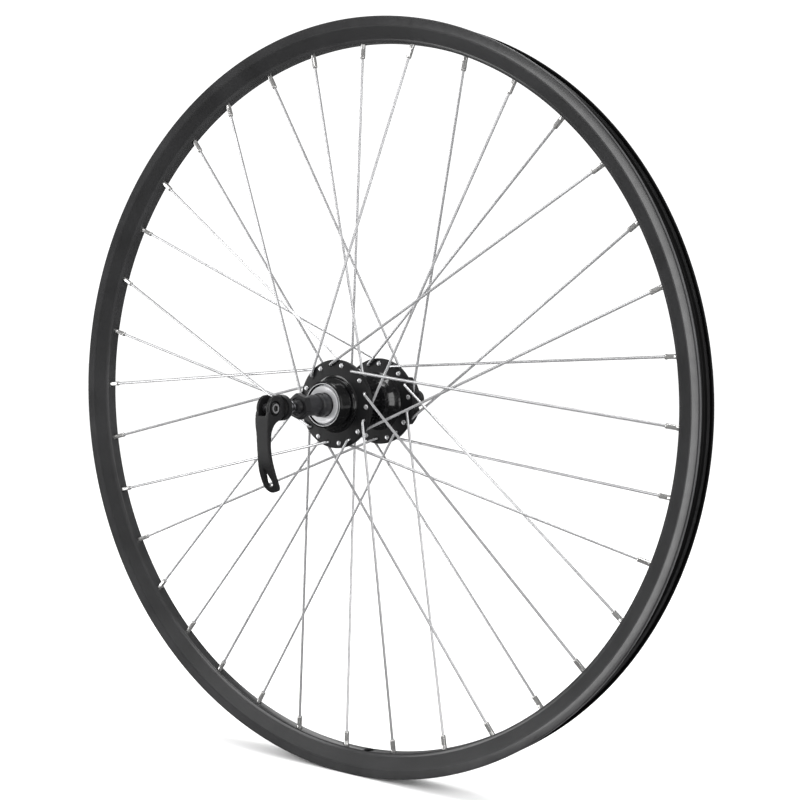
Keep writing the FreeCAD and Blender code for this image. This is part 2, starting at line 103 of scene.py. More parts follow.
# ---------------------------------------------------------------- mesh helpers (millimetres in, metres out)
def rounded(pts, rad=0.25, seg=3, closed=True):
    """Outline with each corner replaced by a short arc.  A point may carry its own radius."""
    P = [(p[0], p[1], p[2] if len(p) > 2 else rad) for p in pts]
    n = len(P)
    out = []
    for i in range(n):
        if not closed and i in (0, n - 1):
            out.append((P[i][0], P[i][1]))
            continue
        a, b, c = P[i - 1], P[i], P[(i + 1) % n]
        r = b[2]
        v1 = Vector((a[0] - b[0], a[1] - b[1]))
        v2 = Vector((c[0] - b[0], c[1] - b[1]))
        l1, l2 = v1.length, v2.length
        if l1 < 1e-6 or l2 < 1e-6 or r <= 0:
            out.append((b[0], b[1]))
            continue
        v1.normalize()
        v2.normalize()
        ang = acos(max(-1, min(1, v1.dot(v2))))
        if ang > pi - 0.05 or ang < 0.02:
            out.append((b[0], b[1]))
            continue
        t = min(r / tan(ang / 2), l1 * 0.45, l2 * 0.45)
        r = t * tan(ang / 2)
        bis = (v1 + v2).normalized()
        cen = Vector((b[0], b[1])) + bis * (r / sin(ang / 2))
        p1 = Vector((b[0], b[1])) + v1 * t
        p2 = Vector((b[0], b[1])) + v2 * t
        a1 = atan2(p1.y - cen.y, p1.x - cen.x)
        a2 = atan2(p2.y - cen.y, p2.x - cen.x)
        d = (a2 - a1 + pi) % (2 * pi) - pi
        k = max(1, seg)
        for j in range(k + 1):
            aa = a1 + d * j / k
            out.append((cen.x + r * cos(aa), cen.y + r * sin(aa)))
    return out


def lathe_data(prof, n=128, rfun=None, closed=True, phase=0.0):
    verts, faces, rows = [], [], []
    for (y, r) in prof:
        if r < 1e-6:
            rows.append([len(verts)])
            verts.append((0.0, y * MM, 0.0))
        else:
            idx = []
            for j in range(n):
                th = 2 * pi * j / n + phase
                rr = rfun(y, th, r) if rfun else r
                idx.append(len(verts))
                verts.append((rr * cos(th) * MM, y * MM, rr * sin(th) * MM))
            rows.append(idx)
    m = len(rows)
    for i in range(m if closed else m - 1):
        A, B = rows[i], rows[(i + 1) % m]
        if len(A) == 1 and len(B) == 1:
            continue
        for j in range(n):
            k = (j + 1) % n
            if len(A) == 1:
                faces.append((A[0], B[j], B[k]))
            elif len(B) == 1:
                faces.append((A[j], A[k], B[0]))
            else:
                faces.append((A[j], A[k], B[k], B[j]))
    return verts, faces


def lathe(name, prof, n=128, rfun=None, closed=True, smooth=35, phase=0.0):
    v, f = lathe_data(prof, n, rfun, closed, phase)
    return mesh_obj(name, v, f, smooth)


def tube_data(path, radii, n=14, caps=True):
    """Tube along points (mm) with a radius at each point."""
    pts = [Vector(p) for p in path]
    tang = []
    for i in range(len(pts)):
        a = pts[max(0, i - 1)]
        b = pts[min(len(pts) - 1, i + 1)]
        tang.append((b - a).normalized())
    t0 = tang[0]
    ref = Vector((0, 0, 1)) if abs(t0.z) < 0.9 else Vector((1, 0, 0))
    nrm = (ref - t0 * ref.dot(t0)).normalized()
    verts, faces, rows = [], [], []
    for i, p in enumerate(pts):
        t = tang[i]
        nrm = (nrm - t * nrm.dot(t)).normalized()
        bi = t.cross(nrm)
        row = []
        for j in range(n):
            a = 2 * pi * j / n
            q = p + (nrm * cos(a) + bi * sin(a)) * radii[i]
            row.append(len(verts))
            verts.append((q.x * MM, q.y * MM, q.z * MM))
        rows.append(row)
    for i in range(len(rows) - 1):
        for j in range(n):
            k = (j + 1) % n
            faces.append((rows[i][j], rows[i][k], rows[i + 1][k], rows[i + 1][j]))
    if caps:
        faces.append(tuple(reversed(rows[0])))
        faces.append(tuple(rows[-1]))
    return verts, faces


def axis_data(prof, origin, d, n=32, rfun=None):
    """Lathe a (distance, radius) outline about a line; open outline, capped where the radius is 0."""
    d = Vector(d).normalized()
    ref = Vector((0, 1, 0)) if abs(d.y) < 0.9 else Vector((1, 0, 0))
    u = (ref - d * ref.dot(d)).normalized()
    w = d.cross(u)
    o = Vector(origin)
    verts, faces, rows = [], [], []
    for (s, r) in prof:
        row = []
        if r < 1e-6:
            q = o + d * s
            row = [len(verts)]
            verts.append((q.x * MM, q.y * MM, q.z * MM))
        else:
            for j in range(n):
                a = 2 * pi * j / n
                rr = rfun(s, a, r) if rfun else r
                q = o + d * s + (u * cos(a) + w * sin(a)) * rr
                row.append(len(verts))
                verts.append((q.x * MM, q.y * MM, q.z * MM))
        rows.append(row)
    for i in range(len(rows) - 1):
        A, B = rows[i], rows[i + 1]
        for j in range(n):
            k = (j + 1) % n
            if len(A) == 1 and len(B) == 1:
                continue
            if len(A) == 1:
                faces.append((A[0], B[j], B[k]))
            elif len(B) == 1:
                faces.append((A[j], A[k], B[0]))
            else:
                faces.append((A[j], A[k], B[k], B[j]))
    return verts, faces


def merge(parts):
    V_, F_ = [], []
    for v, f in parts:
        o = len(V_)
        V_.extend(v)
        F_.extend([tuple(i + o for i in q) for q in f])
    return V_, F_


def apply_mods(o, smooth=35):
    dg = bpy.context.evaluated_depsgraph_get()
    me = bpy.data.meshes.new_from_object(o.evaluated_get(dg))
    o.modifiers.clear()
    old = o.data
    o.data = me
    if old.users == 0:
        bpy.data.meshes.remove(old)
    finish_mesh(me, smooth)
    return o


def cut(o, parts, op="DIFFERENCE", smooth=35):
    v, f = merge(parts)
    c = mesh_obj("cutter", v, f, 0)
    m = o.modifiers.new("cut", "BOOLEAN")
    m.operation = op
    m.solver = "MANIFOLD"
    m.object = c
    before = len(o.data.polygons)
    apply_mods(o, smooth)
    if len(o.data.polygons) == 0:
        raise RuntimeError("boolean emptied " + o.name)
    bpy.data.objects.remove(c, do_unlink=True)
    print("cut", o.name, before, "->", len(o.data.polygons))
    return o


def cyl_cut(r, p0, d, L, n=32, chamfer=0.0, depth=0.0):
    """A closed round cutter; the chamfer argument is not used."""
    prof = [(0, 0), (0, r), (L, r), (L, 0)]
    return axis_data(prof, p0, d, n)


def flare_cut(r, p0, d, y0, y1, c, n=24):
    """Cutter through a wall that runs from y0 to y1 along d, countersunk by c at both faces."""
    prof = [(y0 - 2, 0), (y0 - 2, r + c + 2 - 0.0), (y0 + c, r), (y1 - c, r), (y1 + 2, r + c + 2), (y1 + 2, 0)]
    return axis_data(prof, p0, d, n)


def pol(r, deg, y=0.0):
    a = radians(deg)
    return Vector((r * cos(a), y, r * sin(a)))


# ---------------------------------------------------------------- materials
def new_mat(name):
    m = bpy.data.materials.new(name)
    m.use_nodes = True
    nt = m.node_tree
    for n in list(nt.nodes):
        nt.nodes.remove(n)
    out = nt.nodes.new("ShaderNodeOutputMaterial")
    b = nt.nodes.new("ShaderNodeBsdfPrincipled")
    nt.links.new(b.outputs["BSDF"], out.inputs["Surface"])
    return m, nt, b


def coords(nt, kind="object"):
    tc = nt.nodes.new("ShaderNodeTexCoord")
    if kind == "object":
        return tc.outputs["Object"]
    # cylindrical about the axle: (angle, y, radius)
    sep = nt.nodes.new("ShaderNodeSeparateXYZ")
    nt.links.new(tc.outputs["Object"], sep.inputs[0])
    at = nt.nodes.new("ShaderNodeMath")
    at.operation = "ARCTAN2"
    nt.links.new(sep.outputs["Z"], at.inputs[0])
    nt.links.new(sep.outputs["X"], at.inputs[1])
    x2 = nt.nodes.new("ShaderNodeMath")
    x2.operation = "MULTIPLY"
    nt.links.new(sep.outputs["X"], x2.inputs[0])
    nt.links.new(sep.outputs["X"], x2.inputs[1])
    z2 = nt.nodes.new("ShaderNodeMath")
    z2.operation = "MULTIPLY_ADD"
    nt.links.new(sep.outputs["Z"], z2.inputs[0])
    nt.links.new(sep.outputs["Z"], z2.inputs[1])
    nt.links.new(x2.outputs[0], z2.inputs[2])
    rr = nt.nodes.new("ShaderNodeMath")
    rr.operation = "SQRT"
    nt.links.new(z2.outputs[0], rr.inputs[0])
    com = nt.nodes.new("ShaderNodeCombineXYZ")
    nt.links.new(at.outputs[0], com.inputs[0])
    nt.links.new(sep.outputs["Y"], com.inputs[1])
    nt.links.new(rr.outputs[0], com.inputs[2])
    return com.outputs[0]


def scaled(nt, src, s):
    m = nt.nodes.new("ShaderNodeMapping")
    m.inputs["Scale"].default_value = s
    nt.links.new(src, m.inputs["Vector"])
    return m.outputs["Vector"]


def noise(nt, vec, scale, detail=3.0, rough=0.5):
    n = nt.nodes.new("ShaderNodeTexNoise")
    n.inputs["Scale"].default_value = scale
    n.inputs["Detail"].default_value = detail
    n.inputs["Roughness"].default_value = rough
    nt.links.new(vec, n.inputs["Vector"])
    return n.outputs["Fac"]


def ramp(nt, fac, stops):
    r = nt.nodes.new("ShaderNodeValToRGB")
    els = r.color_ramp.elements
    els[0].position, els[0].color = stops[0][0], (*stops[0][1], 1)
    els[1].position, els[1].color = stops[-1][0], (*stops[-1][1], 1)
    for p, c in stops[1:-1]:
        e = els.new(p)
        e.color = (*c, 1)
    nt.links.new(fac, r.inputs["Fac"])
    return r.outputs["Color"]


def map_range(nt, fac, lo, hi, f0=0.3, f1=0.7):
    r = nt.nodes.new("ShaderNodeMapRange")
    r.inputs["From Min"].default_value = f0
    r.inputs["From Max"].default_value = f1
    r.inputs["To Min"].default_value = lo
    r.inputs["To Max"].default_value = hi
    nt.links.new(fac, r.inputs["Value"])
    return r.outputs["Result"]


def bump(nt, b, height, strength=0.2, dist=0.0001, prev=None):
    n = nt.nodes.new("ShaderNodeBump")
    n.inputs["Strength"].default_value = strength
    n.inputs["Distance"].default_value = dist
    nt.links.new(height, n.inputs["Height"])
    if prev is not None:
        nt.links.new(prev, n.inputs["Normal"])
    nt.links.new(n.outputs["Normal"], b.inputs["Normal"])
    return n.outputs["Normal"]


def anodised(name, base, rough, coat=0.0, fine=0.1, streak=False, spec=0.5):
    """Black anodised or painted aluminium: a dielectric film with a fine grain."""
    m, nt, b = new_mat(name)
    b.inputs["Metallic"].default_value = 0.0
    b.inputs["Specular IOR Level"].default_value = spec
    if coat:
        b.inputs["Coat Weight"].default_value = coat
        b.inputs["Coat Roughness"].default_value = 0.04
    o = coords(nt)
    big = noise(nt, o, 35.0, 4.0, 0.55)
    c0 = tuple(x * 0.82 for x in base)
    c1 = tuple(min(1, x * 1.2) for x in base)
    nt.links.new(ramp(nt, big, [(0.32, c0), (0.68, c1)]), b.inputs["Base Color"])
    if streak:
        cy = scaled(nt, coords(nt, "cyl"), (60.0, 9000.0, 9000.0))
        s = noise(nt, cy, 1.0, 3.0, 0.6)
        nt.links.new(map_range(nt, s, rough * 0.85, rough * 1.15), b.inputs["Roughness"])
        bump(nt, b, s, fine, 0.00002)
    else:
        g = noise(nt, o, 2600.0, 2.0, 0.5)
        mid = noise(nt, o, 160.0, 3.0, 0.5)
        nt.links.new(map_range(nt, mid, rough * 0.85, rough * 1.18), b.inputs["Roughness"])
        bump(nt, b, g, fine, 0.00003)
    return m


def steel(name, base, rough, fine=0.08, turned=False, aniso=0.0, var=0.12, metal=1.0):
    m, nt, b = new_mat(name)
    b.inputs["Metallic"].default_value = metal
    o = coords(nt)
    big = noise(nt, o, 90.0, 4.0, 0.55)
    c0 = tuple(x * (1 - var) for x in base)
    c1 = tuple(min(1, x * (1 + var * 0.5)) for x in base)
    nt.links.new(ramp(nt, big, [(0.3, c0), (0.7, c1)]), b.inputs["Base Color"])
    if aniso:
        b.inputs["Anisotropic"].default_value = aniso
    if turned:
        cy = scaled(nt, coords(nt, "cyl"), (1.2, 5200.0, 5200.0))
        s = noise(nt, cy, 1.0, 4.0, 0.65)
        nt.links.new(map_range(nt, s, rough * 0.75, rough * 1.3), b.inputs["Roughness"])
        bump(nt, b, s, fine, 0.00003)
    else:
        g = noise(nt, o, 1800.0, 3.0, 0.5)
        nt.links.new(map_range(nt, g, rough * 0.8, rough * 1.25), b.inputs["Roughness"])
        bump(nt, b, g, fine, 0.00002)
    return m


def plastic(name, base, rough):
    m, nt, b = new_mat(name)
    o = coords(nt)
    big = noise(nt, o, 220.0, 3.0, 0.5)
    nt.links.new(ramp(nt, big, [(0.3, tuple(x * 0.85 for x in base)), (0.7, tuple(x * 1.15 for x in base))]),
                 b.inputs["Base Color"])
    nt.links.new(map_range(nt, big, rough * 0.9, rough * 1.1), b.inputs["Roughness"])
    bump(nt, b, noise(nt, o, 1500.0, 2.0), 0.15, 0.00003)
    return m


M_RIM_SIDE = anodised("rim_sidewall_matt", (0.0155, 0.0155, 0.0162), 0.38, fine=0.08, streak=True, spec=0.32)
# lighter satin colour used on the near-side lip only: a painted highlight
M_RIM_LIP_PAINTED_HIGHLIGHT = anodised("rim_lip_satin_painted_highlight", (0.06, 0.06, 0.062), 0.32, fine=0.08, streak=True)
M_RIM_BED = anodised("rim_bed_gloss", (0.024, 0.024, 0.0247), 0.2, coat=0.1, fine=0.03, spec=0.4)
M_RIM_CHAN = anodised("rim_channel_black", (0.002, 0.002, 0.0022), 0.5, fine=0.06, spec=0.2)
M_SHELL = anodised("hub_gloss_black", (0.0025, 0.0025, 0.0028), 0.12, coat=0.35, fine=0.03)
M_FLANGE = anodised("hub_flange_satin", (0.005, 0.005, 0.0055), 0.38, fine=0.2, spec=0.32)
M_SPOKE = steel("spoke_bright_wire", (0.58, 0.58, 0.59), 0.22, fine=0.05, metal=0.7)
M_NIP = steel("nipple_nickel", (0.66, 0.655, 0.645), 0.15, fine=0.04, metal=0.85)
M_DUST = steel("dust_cap_turned_zinc", (0.60, 0.60, 0.61), 0.34, fine=0.4, turned=True, metal=0.45)
M_RACE = steel("race_ground_steel", (0.52, 0.52, 0.54), 0.25, fine=0.3, turned=True)
M_BALL = steel("ball_polished", (0.86, 0.86, 0.87), 0.05, fine=0.0)
M_AXLE = anodised("axle_black_oxide", (0.014, 0.014, 0.0155), 0.34, fine=0.25, spec=0.6)
M_NUT = anodised("locknut_black_oxide", (0.009, 0.009, 0.010), 0.4, fine=0.15, spec=0.4)
M_QR = anodised("release_satin_black", (0.0078, 0.0078, 0.0083), 0.34, fine=0.25, spec=0.4)
M_BOLT = steel("bolt_worn_edge", (0.24, 0.24, 0.245), 0.3, fine=0.15, metal=0.5)
# dark nylon for the cam seat and nut insert; also used as painted shade inside the bolt's hex socket
M_NYLON_AND_SOCKET_SHADE = plastic("seat_nylon", (0.02, 0.02, 0.02), 0.5)
M_SPRING = steel("spring_wire_steel", (0.33, 0.33, 0.35), 0.3, fine=0.1)
M_ROD = steel("skewer_blackened", (0.09, 0.09, 0.095), 0.3, fine=0.2, metal=0.8)
M_EDGE = steel("machined_edge", (0.72, 0.72, 0.73), 0.2, fine=0.3, turned=True, metal=0.5)


def piece(o, node, body, mats):
    o.data.materials.clear()
    for m in (mats if isinstance(mats, (list, tuple)) else [mats]):
        o.data.materials.append(m)
    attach(o, body)
    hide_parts(node)
    return o


# ---------------------------------------------------------------- spoke pattern, as in the design
BED_R = 267.6
NIP_IN_R, NIP_OUT_R, NIP_R = 257.6, 271.4, 1.9
PCD_R = 29.45
FL_D_OUT, FL_D_IN = -23.6, -20.1
FL_B_IN, FL_B_OUT = 30.5, 34.0
lacing = {}
for m_ in range(9):
    for base_, kk, side_ in ((77.436, 5, +1), (97.436, 31, -1)):
        lacing[(kk + 4 * m_) % 36] = ("d", base_ + 40.0 * m_, side_)
    for base_, kk, side_ in ((87.73, 6, +1), (27.73, 24, -1)):
        lacing[(kk + 4 * m_) % 36] = ("b", base_ + 40.0 * m_, side_)

sets = {"d+": [], "d-": [], "b+": [], "b-": []}
nips = {"d": [], "b": []}
rim_cuts = []
for k in range(36):
    fl, hang, side = lacing[k]
    y_nip = -0.83 if fl == "d" else 0.83
    f_lo, f_hi = (FL_D_OUT, FL_D_IN) if fl == "d" else (FL_B_IN, FL_B_OUT)
    if side > 0:
        ye, yh = f_hi + (1.8 if fl == "b" else 1.6), f_lo
    else:
        ye, yh = f_lo - (1.8 if fl == "d" else 1.6), f_hi
    hp = pol(PCD_R, hang)
    nang = 88.106 + 10.0 * k
    n_in = pol(BED_R, nang, y_nip)
    corner = Vector((hp.x, ye, hp.z))
    d = (n_in - corner).normalized()
    s = Vector((0, 1 if yh > ye else -1, 0))
    ang = s.angle(d)
    t = 1.9 / tan(ang / 2)
    pa, pb = corner + s * t, corner + d * t
    bis = (s + d).normalized()
    cen = corner + bis * (1.9 / sin(ang / 2))
    head_y = yh + (0.15 if yh > ye else -0.15)
    hs = 1 if yh > ye else -1
    ax = Vector((hp.x, head_y, hp.z))
    # head profile, measured outwards from the flange face
    pts, rad = [], []
    for (h, r) in ((0.86, 0.02), (0.85, 0.45), (0.90, 0.62), (0.88, 1.05), (0.80, 1.35), (0.62, 1.62), (0.38, 1.83),
                   (0.15, 1.94), (0.0, 1.95), (-0.1, 1.90), (-0.22, 1.5), (-0.5, 1.08), (-0.8, 1.0)):
        pts.append(ax + Vector((0, hs * h, 0)))
        rad.append(r)
    pts.append(pa)
    rad.append(1.0)
    v1 = (pa - cen)
    v2 = (pb - cen)
    tot = v1.angle(v2)
    axis = v1.cross(v2).normalized()
    for j in range(1, 10):
        q = cen + Matrix.Rotation(tot * j / 10, 3, axis) @ v1
        pts.append(q)
        rad.append(1.0)
    pts.append(pb)
    rad.append(1.0)
    end = n_in + d * 3.0
    for j in range(1, 13):
        pts.append(pb + (end - pb) * (j / 12))
        rad.append(1.0)
    sets[fl + ("+" if side > 0 else "-")].append(tube_data(pts, rad, 18))
    # nipple: tapered mouth, squared body for the key, round neck, head in the rim
    radial = pol(1, nang)
    base = n_in - d * ((BED_R - NIP_IN_R) / d.dot(radial))
    ln = NIP_OUT_R - NIP_IN_R

    def nip_r(sd, a, r):
        if 0.95 < sd < 8.4:
            w = min(1.0, (sd - 0.95) / 0.25, (8.4 - sd) / 0.9)
            c_ = max(abs(cos(a)), abs(sin(a)))
            return min(r, (1 - w) * r + w * min(r, 1.62 / c_))
        return r
    prof = [(0.10, 1.03), (0.0, 1.25), (0.0, 1.45), (0.12, 1.62), (0.45, 1.80), (0.95, NIP_R), (1.2, NIP_R),
            (1.5, NIP_R), (4.0, NIP_R), (7.0, NIP_R), (7.5, NIP_R), (8.0, NIP_R), (8.4, NIP_R), (ln - 2.9, NIP_R),
            (ln - 1.7, 2.95), (ln - 0.4, 2.95), (ln - 0.1, 2.6), (ln, 2.1), (ln, 1.03), (ln - 1.0, 1.03), (0.3, 1.03),
            (0.10, 1.03)]
    nips[fl].append(axis_data(prof, base, d, 32, nip_r))
    rim_cuts.append(axis_data([(262.0, 0), (262.0, 5.6), (BED_R + 0.25, 2.4), (272.0, 2.4), (272.0, 0)],
                              Vector((0, y_nip, 0)), radial, 32))
    rim_cuts.append(axis_data([(272.6, 0), (272.6, 4.2), (279.0, 4.2), (279.0, 0)], Vector((0, y_nip, 0)), radial, 32))

names = {"d+": "spokes_drive_inner", "d-": "spokes_drive_outer", "b+": "spokes_disc_outer", "b-": "spokes_disc_inner"}
for key, nm in names.items():
    v, f = merge(sets[key])
    o = mesh_obj(nm + "_wire", v, f, 50)
    piece(o, nm, "wheel", M_SPOKE)
for key, nm in (("d", "nipples_drive"), ("b", "nipples_disc")):
    v, f = merge(nips[key])
    o = mesh_obj(nm + "_turned", v, f, 30)
    piece(o, nm, "wheel", M_NIP)

# ---------------------------------------------------------------- rim
half = [(-4.2, BED_R, 1.2), (-5.3, 270.0, 2.0), (-10.0, 278.2, 2.5), (-10.35, 279.2, 1.0),
        (-12.0, 284.6, 0.3), (-11.85, 285.0, 0.15), (-11.4, 285.05, 0.1), (-11.2, 285.5, 0.2), (-9.3, 285.5, 0.3),
        (-9.1, 285.1, 0.3), (-9.3, 284.0, 0.3),
        (-10.0, 283.0, 0.5), (-9.6, 281.3, 0.5), (-9.05, 279.5, 0.5), (-6.9, 279.2, 0.8), (-5.2, 276.8, 0.8),
        (-4.4, 276.5, 0.5)]
outline = rounded(half + [(-y, r, c) for (y, r, c) in reversed(half)], seg=3)
ch = [(-3.4, 269.3, 0.4), (-4.06, 270.65, 0.4), (-8.31, 277.6, 0.3), (-7.4, 277.6, 0.3), (-5.9, 275.0, 0.4)]
cav = rounded(ch + [(-y, r, c) for (y, r, c) in reversed(ch)], seg=1)
NR = 576
rim = lathe("rim_extrusion", outline, NR)
cv, cf = lathe_data(cav, NR // 2)
rim = cut(rim, [(cv, cf)])
va = 273.1
rim_cuts.append(axis_data([(262.0, 0), (262.0, 9.6), (BED_R + 0.35, 4.25), (279.5, 4.25), (279.5, 0)],
                          Vector((0, 0, 0)), pol(1, va), 40))
rim = cut(rim, rim_cuts)
me = rim.data
me.materials.clear()
co = np.empty(len(me.polygons) * 3)
me.polygons.foreach_get("center", co)
co = co.reshape(-1, 3)
rr = np.hypot(co[:, 0], co[:, 2]) / MM
yy = np.abs(co[:, 1]) / MM
side = (yy > 5.35 + (rr - 270.0) * 0.573 - 0.9) & (rr > 269.9) | ((rr > 284.6) & (yy > 11.0))
chan = (rr > 275.8) & (yy < 9.75) & ~((yy > 9.0) & (rr < 278.9))
# index 2 paints the near-side lip (y < 0) lighter as a painted highlight
mi = np.where((rr > 285.1) & (yy > 9.15) & (yy < 11.33) & (co[:, 1] < 0), 2,
              np.where(side & ~chan, 0, np.where(chan | (rr > 284.6), 3, 1))).astype(np.int32)
piece(rim, "rim", "wheel", [M_RIM_SIDE, M_RIM_BED, M_RIM_LIP_PAINTED_HIGHLIGHT, M_RIM_CHAN])
rim.data.polygons.foreach_set("material_index", mi)

# ---------------------------------------------------------------- hub shell
pitch = 25.4 / 24
thr = [(-37.45 + i * pitch / 10, 17.45) for i in range(int(10.3 / (pitch / 10)) + 1)]


def hub_r(y, th, r):
    if r > 17.449 and -37.5 < y < -27.0 and r < 17.46:
        ph = (y / pitch + th / (2 * pi)) % 1.0
        tri = abs(2 * ph - 1)
        env = min(1.0, (y + 37.5) / 0.8, (-27.0 - y) / 0.6)
        return r - 0.52 * max(0.0, min(1.0, (tri - 0.12) / 0.76)) * max(0.0, env)
    return r


o1 = rounded([(-38.0, 15.55, 0.15), (-38.0, 15.98, 0), (-38.0, 16.7, 0.25), (-37.5, 17.4, 0.1)], seg=2, closed=False)
o2 = rounded([(-26.95, 17.4, 0.1), (-26.7, 16.85, 0.2), (-26.05, 16.85, 0.15), (-26.05, 19.5, 0.35), (-24.9, 19.5, 0.4),
              (-24.3, 19.8, 0.5), (-23.9, 20.5, 0.4), (-23.6, 21.6, 0.4), (-23.6, 32.7, 0.2), (-23.0, 33.3, 0.5),
              (-20.7, 33.3, 0.5), (-20.1, 32.7, 0.2), (-20.1, 22.6, 0.8), (-19.4, 20.6, 1.5), (-17.0, 18.0, 4.0),
              (-14.0, 15.7, 4.0), (-11.0, 14.7, 4.0), (-8.0, 14.5, 4.0), (17.0, 14.5, 6.0), (20.5, 14.9, 5.0),
              (23.5, 16.0, 5.0), (27.0, 18.3, 5.0), (29.6, 20.6, 2.0), (30.5, 22.5, 0.8), (30.5, 32.9, 0.2),
              (31.1, 33.5, 0.5), (33.4, 33.5, 0.5), (34.0, 32.9, 0.2), (34.0, 22.5, 0.8), (34.6, 21.0, 1.0),
              (36.0, 19.8, 1.2), (43.0, 19.8, 0.6), (44.0, 20.6, 0.6), (44.6, 22.0, 0.4), (44.6, 25.4, 0.4),
              (45.1, 26.0, 0.3), (51.7, 26.0, 0.3), (52.2, 25.5, 0.3), (52.2, 17.4, 0.15), (55.1, 17.4, 0.2),
              (55.6, 16.9, 0.2), (55.6, 15.5, 0.15), (54.8, 15.5, 0.05), (54.8, 15.0, 0), (45.0, 15.0, 0),
              (45.0, 9.5, 0.3), (-27.4, 9.5, 0.3), (-27.4, 15.0, 0), (-35.6, 15.0, 0), (-35.6, 15.5, 0.05),
              (-37.9, 15.5, 0.05)], seg=3, closed=False)
NH = 240
hub = lathe("hub_shell_turned", o1 + thr + o2, NH, hub_r, smooth=40)
cuts = []
for k, (fl, hang, side) in lacing.items():
    y0, y1 = (FL_D_OUT, FL_D_IN) if fl == "d" else (FL_B_IN, FL_B_OUT)
    p = pol(PCD_R, hang)
    cuts.append(flare_cut(1.25, (p.x, 0, p.z), (0, 1, 0), y0, y1, 0.4))
for i in range(6):
    p = pol(22.0, 30 + 60 * i)
    cuts.append(axis_data([(43.0, 0), (43.0, 2.1), (51.8, 2.1), (54.2, 4.5), (54.2, 0)], (p.x, 0, p.z), (0, 1, 0), 28))
    q = pol(26.0 + 9.2, 60 * i)
    cuts.append(axis_data([(43.0, 0), (43.0, 13.3), (45.0, 12.0), (51.8, 12.0), (53.2, 13.4), (53.2, 0)],
                          (q.x, 0, q.z), (0, 1, 0), 72))
hub = cut(hub, cuts, smooth=32)
me = hub.data
co = np.empty(len(me.polygons) * 3)
me.polygons.foreach_get("center", co)
co = co.reshape(-1, 3)
rr = np.hypot(co[:, 0], co[:, 2]) / MM
yy = co[:, 1] / MM
no = np.empty(len(me.polygons) * 3)
me.polygons.foreach_get("normal", no)
no = no.reshape(-1, 3)
fl_d = (yy < -23.2) & (yy > -23.75) & (rr > 22.3)
fl_o = ((yy > -23.75) & (yy < -20.0) & (rr > 23.5)) | ((yy > 30.4) & (yy < 34.1) & (rr > 23.5))
edge = (yy < -37.2) & (rr < 16.1) & (rr > 15.35)
mi = np.where(edge, 2, np.where(fl_d | fl_o, 1, 0)).astype(np.int32)
piece(hub, "hub_shell", "wheel", [M_SHELL, M_FLANGE, M_EDGE])
hub.data.polygons.foreach_set("material_index", mi)

# ---------------------------------------------------------------- bearings, cones, caps
BY_D, BY_B = -32.0, 49.6


def dust(y_face, s, yb):
    return rounded([(y_face, 13.45, 0.15), (y_face + s * 0.35, 13.9, 0.15), (y_face + s * 0.9, 14.03, 0.2),
                    (yb - s * 2.6, 14.03, 0.1), (yb - s * 2.6, 13.45, 0.1), (y_face + s * 1.2, 13.3, 0.3),
                    (y_face + s * 1.7, 9.5, 0.2), (y_face + s * 1.95, 9.1, 0.1), (y_face + s * 1.95, 8.75, 0.1),
                    (y_face + s * 1.4, 8.75, 0.15), (y_face + s * 0.95, 9.4, 0.4), (y_face + s * 0.55, 11.0, 2.0)],
                   seg=4)


piece(lathe("dust_cap_drive_pressed", dust(-37.9, 1, BY_D), 128), "dust_cap_drive", "wheel", M_DUST)
piece(lathe("dust_cap_disc_pressed", dust(55.5, -1, BY_B), 128), "dust_cap_disc", "wheel", M_DUST)


def arc_pts(cy, cr, R, a0, a1, n):
    return [(cy + R * cos(radians(a0 + (a1 - a0) * i / n)), cr + R * sin(radians(a0 + (a1 - a0) * i / n)))
            for i in range(n + 1)]


def cone_prof(yb, s, y_end, collar=()):
    arc = [(yb - s * 3.25 * cos(radians(a)), 10.8 - 3.25 * sin(radians(a))) for a in range(15, 91, 5)]
    re_ = collar[0][1] if collar else 8.4
    return ([(y_end, 5.02), (y_end, re_ - 0.7), (y_end + s * 0.25, re_ - 0.2), (y_end + s * 0.6, re_)] + list(collar) +
            [(yb - s * 3.75, 8.4),
             (yb - s * 3.62, 8.6), (yb - s * 3.45, 9.5)] + arc +
            [(yb + s * 2.3, 7.55), (yb + s * 2.6, 7.3), (yb + s * 2.8, 7.0), (yb + s * 2.8, 5.02)])


def flat_box(y0, y1, z0, z1):
    v = [(x * MM, y * MM, z * MM) for x in (-10, 10) for y in (y0, y1) for z in (z0, z1)]
    f = [(0, 1, 3, 2), (4, 6, 7, 5), (0, 4, 5, 1), (2, 3, 7, 6), (0, 2, 6, 4), (1, 5, 7, 3)]
    return v, f


cd = lathe("cone_drive_turned",
           cone_prof(BY_D, 1, -46.5, ((-39.35, 8.9), (-39.15, 8.85), (-38.95, 8.7), (-38.7, 8.4))), 120)
cut(cd, [flat_box(-46.8, -42.5, 7.6, 12), flat_box(-46.8, -42.5, -12, -7.6)])
piece(cd, "cone_drive", "axle_set", M_AXLE)
cb = lathe("cone_disc_turned", cone_prof(BY_B, -1, 59.6), 120)
cut(cb, [flat_box(56.99, 59.9, 7.5, 12), flat_box(56.99, 59.9, -12, -7.5)])
piece(cb, "cone_disc", "axle_set", M_AXLE)


def ring(y0, y1, r0, r1, c=0.25):
    return rounded([(y0, r0, c * 0.6), (y0, r1, c), (y1, r1, c), (y1, r0, c * 0.6)], seg=3)


piece(lathe("axle_spacer_drive_turned", ring(-61.0, -46.5, 5.02, 7.4, 0.35), 112), "axle_spacer_drive", "axle_set",
      M_AXLE)
piece(lathe("axle_spacer_disc_turned", ring(59.6, 61.0, 5.02, 7.4, 0.2), 112), "axle_spacer_disc", "axle_set",
      M_AXLE)

RC = 17.0 / 2 / cos(pi / 6)


